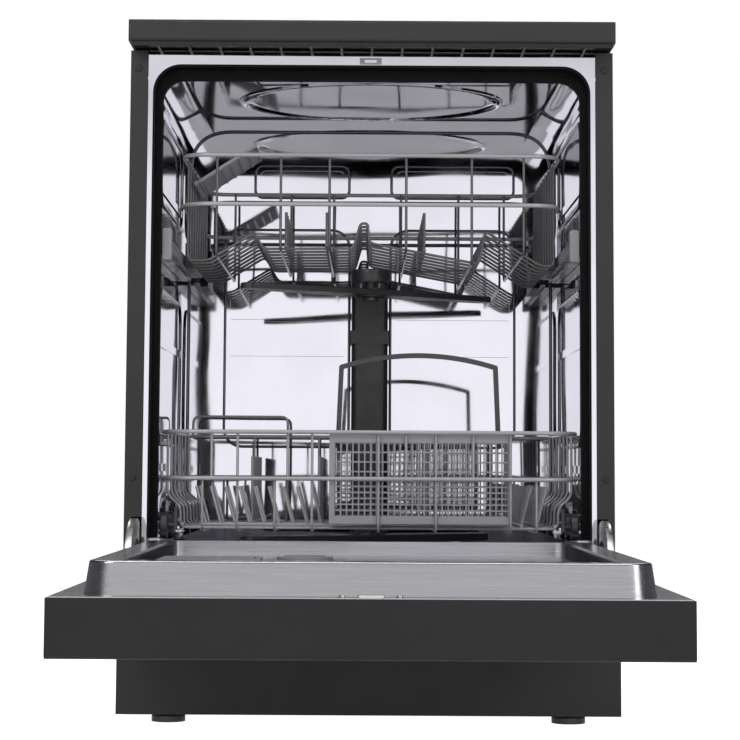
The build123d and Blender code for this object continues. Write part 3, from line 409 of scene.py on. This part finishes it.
def tine_row(start, end, feet, top, lean):
    """Runs of a straight bar with a tine standing at each foot, its tip moved by the lean."""
    runs = [([Vector((*start, TINE_ROW)), Vector((*end, TINE_ROW))], TINE_R, False)]
    for x, y in feet:
        tip = Vector((x + lean[0], y + lean[1], top))
        runs.append(([Vector((x, y, TINE_ROW)), tip], TINE_R, False))
    return runs


def plate_row(x, lean_y):
    """Row of tall tines that runs from front to back at x."""
    feet = [(x, y) for y in PLATE_TINES_Y]
    return tine_row((x, PLATE_ROW_Y[0]), (x, PLATE_ROW_Y[1]), feet, PLATE_TINE_TOP, (0, lean_y))


def lower_basket():
    """Rims, floor wires and tines of the lower basket."""
    rims = [(loop(LOWER_HALF, LOWER_FRONT, LOWER_BACK, z, CORNER_R), RIM_R, True)
            for z in (LOWER_RIM, LOWER_MID)]
    wirework("lower_rims_bent", "lower_basket", ["lower_basket_rims"], COATED, rims)

    side = LOWER_HALF - INSIDE
    near, far = LOWER_FRONT + INSIDE, LOWER_BACK - INSIDE
    under = LOWER_FLOOR - 2 * WIRE_R
    wires = []
    for y in LATERALS_Y:
        half = [(JOG_X, LOWER_FLOOR), (JOG_X, 252), (side, 266), (side, LOWER_RIM)]
        profile = [(-x, z) for x, z in reversed(half)] + half
        wires.append((bend([(x, y, z) for x, z in profile], 9), WIRE_R, False))
    for x, top in LONGS:
        run = [(x, near, top), (x, near, under), (x, far, under), (x, far, top)]
        wires.append((bend(run, 12), WIRE_R, False))
    for x in RIM_TIES_X:
        wires.append(([Vector((x, near, LOWER_MID)), Vector((x, near, LOWER_RIM))], WIRE_R, False))
    wirework("lower_wires_bent", "lower_basket", ["lower_basket_wires"], COATED, wires)

    tines = []
    for y, end_x, count in ((84, -55, 9), (142, -60, 8)):
        tines += tine_row((-212, y), (end_x, y), [(-204 + 18.1 * i, y) for i in range(count)], 277, (-13, 0))
    for x in (190, 210):
        tines += tine_row((x, 75), (x, 430), [(x, 84 + 29 * i) for i in range(12)], 278, (13, 0))
    tines += plate_row(-152, -6)
    guard = [(-249, GUARD_Y, LOWER_RIM), (-249, GUARD_Y, GUARD_TOP), (-115, GUARD_Y, GUARD_TOP),
             (-115, GUARD_Y, TINE_ROW + 10)]
    tines.append((bend(guard, 10), TINE_R, False))
    wirework("lower_tines_bent", "lower_basket", ["lower_tines"], COATED, tines)
    wirework("folding_tines_bent", "folding_tines", ["folding_tines"], COATED, plate_row(-65, 0))


UPPER_HALF = 236.0
UPPER_FRONT = 35.0
UPPER_BACK = 462.0
UPPER_RIM = 690.0
UPPER_MID = 628.0
UPPER_R = 36.0
UPPER_PROFILE = [(-231.7, 688), (-231.7, 561), (-205, 561), (-148, 596), (-136, 576), (-22, 577),
                 (-13, 609), (-4, 609), (-2, 584), (137, 558), (145, 600), (215, 556), (231.7, 556),
                 (231.7, 688)]
UPPER_PITCH = 42
UPPER_LONGS_X = (-193, -113, -52, 44, 126, 191)
UPPER_TINES_X = (-108, -56, 68)
UPPER_TINE_TOP = 625


def floor_height(x):
    """Height of the upper basket's folded floor at x."""
    floor = UPPER_PROFILE[1:-1]
    (x0, z0), (x1, z1) = next(pair for pair in zip(floor, floor[1:]) if pair[0][0] <= x <= pair[1][0])
    return z0 + (z1 - z0) * (x - x0) / (x1 - x0)


def upper_basket():
    """Rims, folded floor wires and tine rows of the upper basket."""
    rims = [(loop(UPPER_HALF, UPPER_FRONT, UPPER_BACK, z, UPPER_R), RIM_R, True)
            for z in (UPPER_RIM, UPPER_MID)]
    wirework("upper_rims_bent", "upper_basket", ["upper_basket_rims"], COATED, rims)
    wires = [(bend([(x, 80 + UPPER_PITCH * i, z) for x, z in UPPER_PROFILE], 7), WIRE_R, False)
             for i in range(9)]
    near, far = UPPER_FRONT + INSIDE, UPPER_BACK - INSIDE
    for x in UPPER_LONGS_X:
        under = floor_height(x) - 2 * WIRE_R - 1
        run = [(x, near, UPPER_RIM), (x, near, under), (x, far, under), (x, far, UPPER_RIM)]
        wires.append((bend(run, 12), WIRE_R, False))
    for x in UPPER_TINES_X:
        base = floor_height(x) + WIRE_R + TINE_R
        wires.append(([Vector((x, 72, base)), Vector((x, 424, base))], TINE_R, False))
        for i in range(8):
            y = 101 + UPPER_PITCH * i
            wires.append(([Vector((x, y, base)), Vector((x, y, UPPER_TINE_TOP))], TINE_R, False))
    # The upper wires take the darker copy of the rim coating: painted shade.
    wirework("upper_wires_bent", "upper_basket", ["upper_basket_wires"], "dark_coating", wires)


def upright_frame(side, u0, u1, z0, z1, radius, turn):
    """Closed rounded rectangle standing on the plane at side; turn says which axis the plane faces."""
    path = [(p.x, p.y) for p in loop((u1 - u0) / 2, z0, z1, 0, radius)]
    middle = (u0 + u1) / 2
    if turn == "Y":
        return [Vector((middle + u, side, z)) for u, z in path]
    return [Vector((side, middle + u, z)) for u, z in path]


TUB_HALF = 271.2
TUB_BACK = 510.0
BEAD_R = 2.4
FINE_BEAD_R = BEAD_R * 0.7
PRESSING_Z = (331, 644)
PRESSING_CROSS_Z = (461, 514)
TOP_PRESSING_Z = (692, 738)
SIDE_PRESSINGS_Z = ((330, 530), (640, 750))
SIDE_PRESSING_Y = (130, 470)


def tub_beads():
    """Rounded lines of the pressed shapes in the tub walls, and the seam round its back wall, in a darker
    copy of the tub steel as painted shade.
    """
    runs = []
    for u0, u1 in ((-209, -30), (30, 209)):
        runs.append((upright_frame(TUB_BACK, u0, u1, *PRESSING_Z, 26, "Y"), BEAD_R, True))
        for z in PRESSING_CROSS_Z:
            line = [Vector((u0 + 8, TUB_BACK, z)), Vector((u1 - 8, TUB_BACK, z))]
            runs.append((line, FINE_BEAD_R, False))
    for u0, u1 in ((-167, -31), (31, 208)):
        runs.append((upright_frame(TUB_BACK, u0, u1, *TOP_PRESSING_Z, 11, "Y"), BEAD_R, True))
    for side in (-TUB_HALF, TUB_HALF):
        for heights in SIDE_PRESSINGS_Z:
            runs.append((upright_frame(side, *SIDE_PRESSING_Y, *heights, 30, "X"), BEAD_R, True))
    back = [(-262, 225), (-262, 788), (262, 788), (262, 225)]
    runs.append((bend([(x, TUB_BACK - 1.5, z) for x, z in back], 60, 12), BEAD_R, False))
    # The beads take the darker copy of the tub steel: painted shade.
    wirework("tub_bead_lines", "cabinet", [], "tub_steel", runs, finish="painted_shade_bead_steel")


# ---------------------------------------------------------------- moulded lattices
def bar(bm, x, y, z, matrix=None):
    """Box between pairs of x, y and z in cabinet millimetres, moved by the matrix when there is one."""
    corners = [Vector((a, b, c)) for a in x for b in y for c in z]
    if matrix:
        corners = [matrix @ corner for corner in corners]
    verts = [bm.verts.new(place(*corner)) for corner in corners]
    for face in ((0, 1, 3, 2), (4, 6, 7, 5), (0, 4, 5, 1), (2, 3, 7, 6), (0, 2, 6, 4), (1, 5, 7, 3)):
        bm.faces.new([verts[i] for i in face])


def moulding(name, bm, body, nodes, slot, round_mm):
    """Finished moulded piece with edges rounded by round_mm, in place of the CAD nodes named."""
    bmesh.ops.recalc_face_normals(bm, faces=bm.faces)
    mesh = bpy.data.meshes.new(name)
    bm.to_mesh(mesh)
    bm.free()
    mesh.materials.append(MATERIALS[slot])
    obj = bpy.data.objects.new(name, mesh)
    bpy.context.scene.collection.objects.link(obj)
    edge = obj.modifiers.new("round", "BEVEL")
    edge.width = round_mm * MM
    edge.segments = 2
    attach(obj, body)
    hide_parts(*nodes)


CUT_X = (-50.0, 175.0)
CUT_Y = (36.0, 130.0)
CUT_Z = (232.0, 344.0)
CUT_DIVIDERS = (2.5, 62.5, 122.5)
CUT_WALL = 2.5
CUT_PITCH = 7.4
CUT_POST = (7, 4)
RIB_HALF = 0.9


def stops(start, end, pitch):
    """Evenly spaced places from start to end, about a pitch apart."""
    count = round((end - start) / pitch)
    return [start + (end - start) * i / count for i in range(count + 1)]


def cutlery_basket():
    """Basket with fine lattice walls in a solid frame, divided in cells."""
    bm = bmesh.new()
    (x0, x1), (y0, y1), (z0, z1) = CUT_X, CUT_Y, CUT_Z
    panel_x = (x0 + CUT_POST[0], x1 - CUT_POST[1])
    panel_z = (z0 + 9, z1 - 12)
    inner_x = (x0 + CUT_WALL, x1 - CUT_WALL)
    inner_y = (y0 + CUT_WALL, y1 - CUT_WALL)
    rows = stops(panel_z[0], 285, CUT_PITCH) + stops(296, panel_z[1], 11.5)
    for y in ((y0, inner_y[0]), (inner_y[1], y1)):
        bar(bm, CUT_X, y, (panel_z[1], z1))
        bar(bm, CUT_X, y, (z0, panel_z[0]))
        for x in ((x0, panel_x[0]), (panel_x[1], x1)):
            bar(bm, x, y, panel_z)
        rib = (y[0] + 0.4, y[1] - 0.4)
        for x in stops(*panel_x, CUT_PITCH)[1:-1]:
            bar(bm, (x - RIB_HALF, x + RIB_HALF), rib, panel_z)
        for z in rows:
            bar(bm, panel_x, (rib[0] + 0.2, rib[1] - 0.2), (z - RIB_HALF, z + RIB_HALF))
    for x in ((x0, inner_x[0]), (inner_x[1], x1)):
        bar(bm, x, inner_y, (panel_z[1], z1))
        bar(bm, x, inner_y, (z0, panel_z[0]))
        for y in stops(*inner_y, CUT_PITCH):
            bar(bm, x, (y - RIB_HALF, y + RIB_HALF), panel_z)
        for z in rows:
            bar(bm, (x[0] + 0.3, x[1] - 0.3), inner_y, (z - RIB_HALF, z + RIB_HALF))
    for x in CUT_DIVIDERS:
        bar(bm, (x - 0.8, x + 0.8), inner_y, (z0 + CUT_WALL, z1 - 4))
    for y in stops(*inner_y, 9):
        bar(bm, inner_x, (y - 1.5, y + 1.5), (z0, z0 + CUT_WALL))
    for x in stops(*inner_x, 9):
        bar(bm, (x - 1.5, x + 1.5), inner_y, (z0 + 0.2, z0 + 2.3))
    moulding("cutlery_lattice", bm, "cutlery_basket", ["cutlery_basket"], "light_plastic", 0.3)


SHELF_HINGE = (-223.7, 662.0)
SHELF_TILT = math.radians(-33)
SHELF_Y = (112.0, 252.0)
SHELF_L = 88.0


def cup_shelf():
    """Comb-like cup shelf: long ribs tied by cross bars, hinged at its outer edge and tilted up."""
    bm = bmesh.new()
    turn = Matrix.Translation((SHELF_HINGE[0], 0, SHELF_HINGE[1])) @ Matrix.Rotation(SHELF_TILT, 4, "Y")
    for y in stops(SHELF_Y[0] + 2, SHELF_Y[1] - 2, 9.5):
        bar(bm, (4, SHELF_L + 4), (y - 1.8, y + 1.8), (-0.6, 3.4), turn)
    for x in stops(10, SHELF_L + 2, 13):
        bar(bm, (x - 1.7, x + 1.7), SHELF_Y, (-1.6, 2.2), turn)
    bar(bm, (-2.6, 2.6), SHELF_Y, (-1.1, 4.1), turn)
    for y in (SHELF_Y[0] + 6, SHELF_Y[1] - 6):
        bar(bm, (-1, 10), (y - 4, y + 4), (0, 3), turn)
    moulding("cup_shelf_comb", bm, "cup_shelf_left", ["cup_shelf_left"], "grey_plastic", 0.6)


# ---------------------------------------------------------------- the CAD's own nodes
ROUNDED = ("worktop", "worktop_frame", "kickplate", "control_panel", "door_outer_panel", "dispenser_body",
           "dispenser_lid", "rail_end_caps", "basket_hangers", "water_duct", "lower_spray_arm",
           "upper_spray_arm", "latch_striker", "hinge_brackets", "door_hinge_arms", "feed_tube",
           "wheel_carriers", "door_latch", "cutlery_handle")
WELD_GAP = 0.01
NODE_ROUND = 0.5
HARD_EDGE = math.radians(40)


def dress_nodes():
    """Gives each CAD node its slot's finish, and a small round to the hard edges of the plain ones."""
    slots = {s["node"]: s["material_slot"] for s in frame["record"]["subparts"]}
    for name, node in NODES.items():
        node.data.materials.clear()
        node.data.materials.append(MATERIALS[slots[name]])
        if name in ROUNDED:
            weld = node.modifiers.new("weld", "WELD")
            weld.merge_threshold = WELD_GAP * MM
            edge = node.modifiers.new("round", "BEVEL")
            edge.width = NODE_ROUND * MM
            edge.segments = 2
            edge.angle_limit = HARD_EDGE


make_camera()
make_room()
dress_nodes()
lower_basket()
upper_basket()
tub_beads()
cutlery_basket()
cup_shelf()

bpy.context.scene.view_settings.view_transform = "Standard"
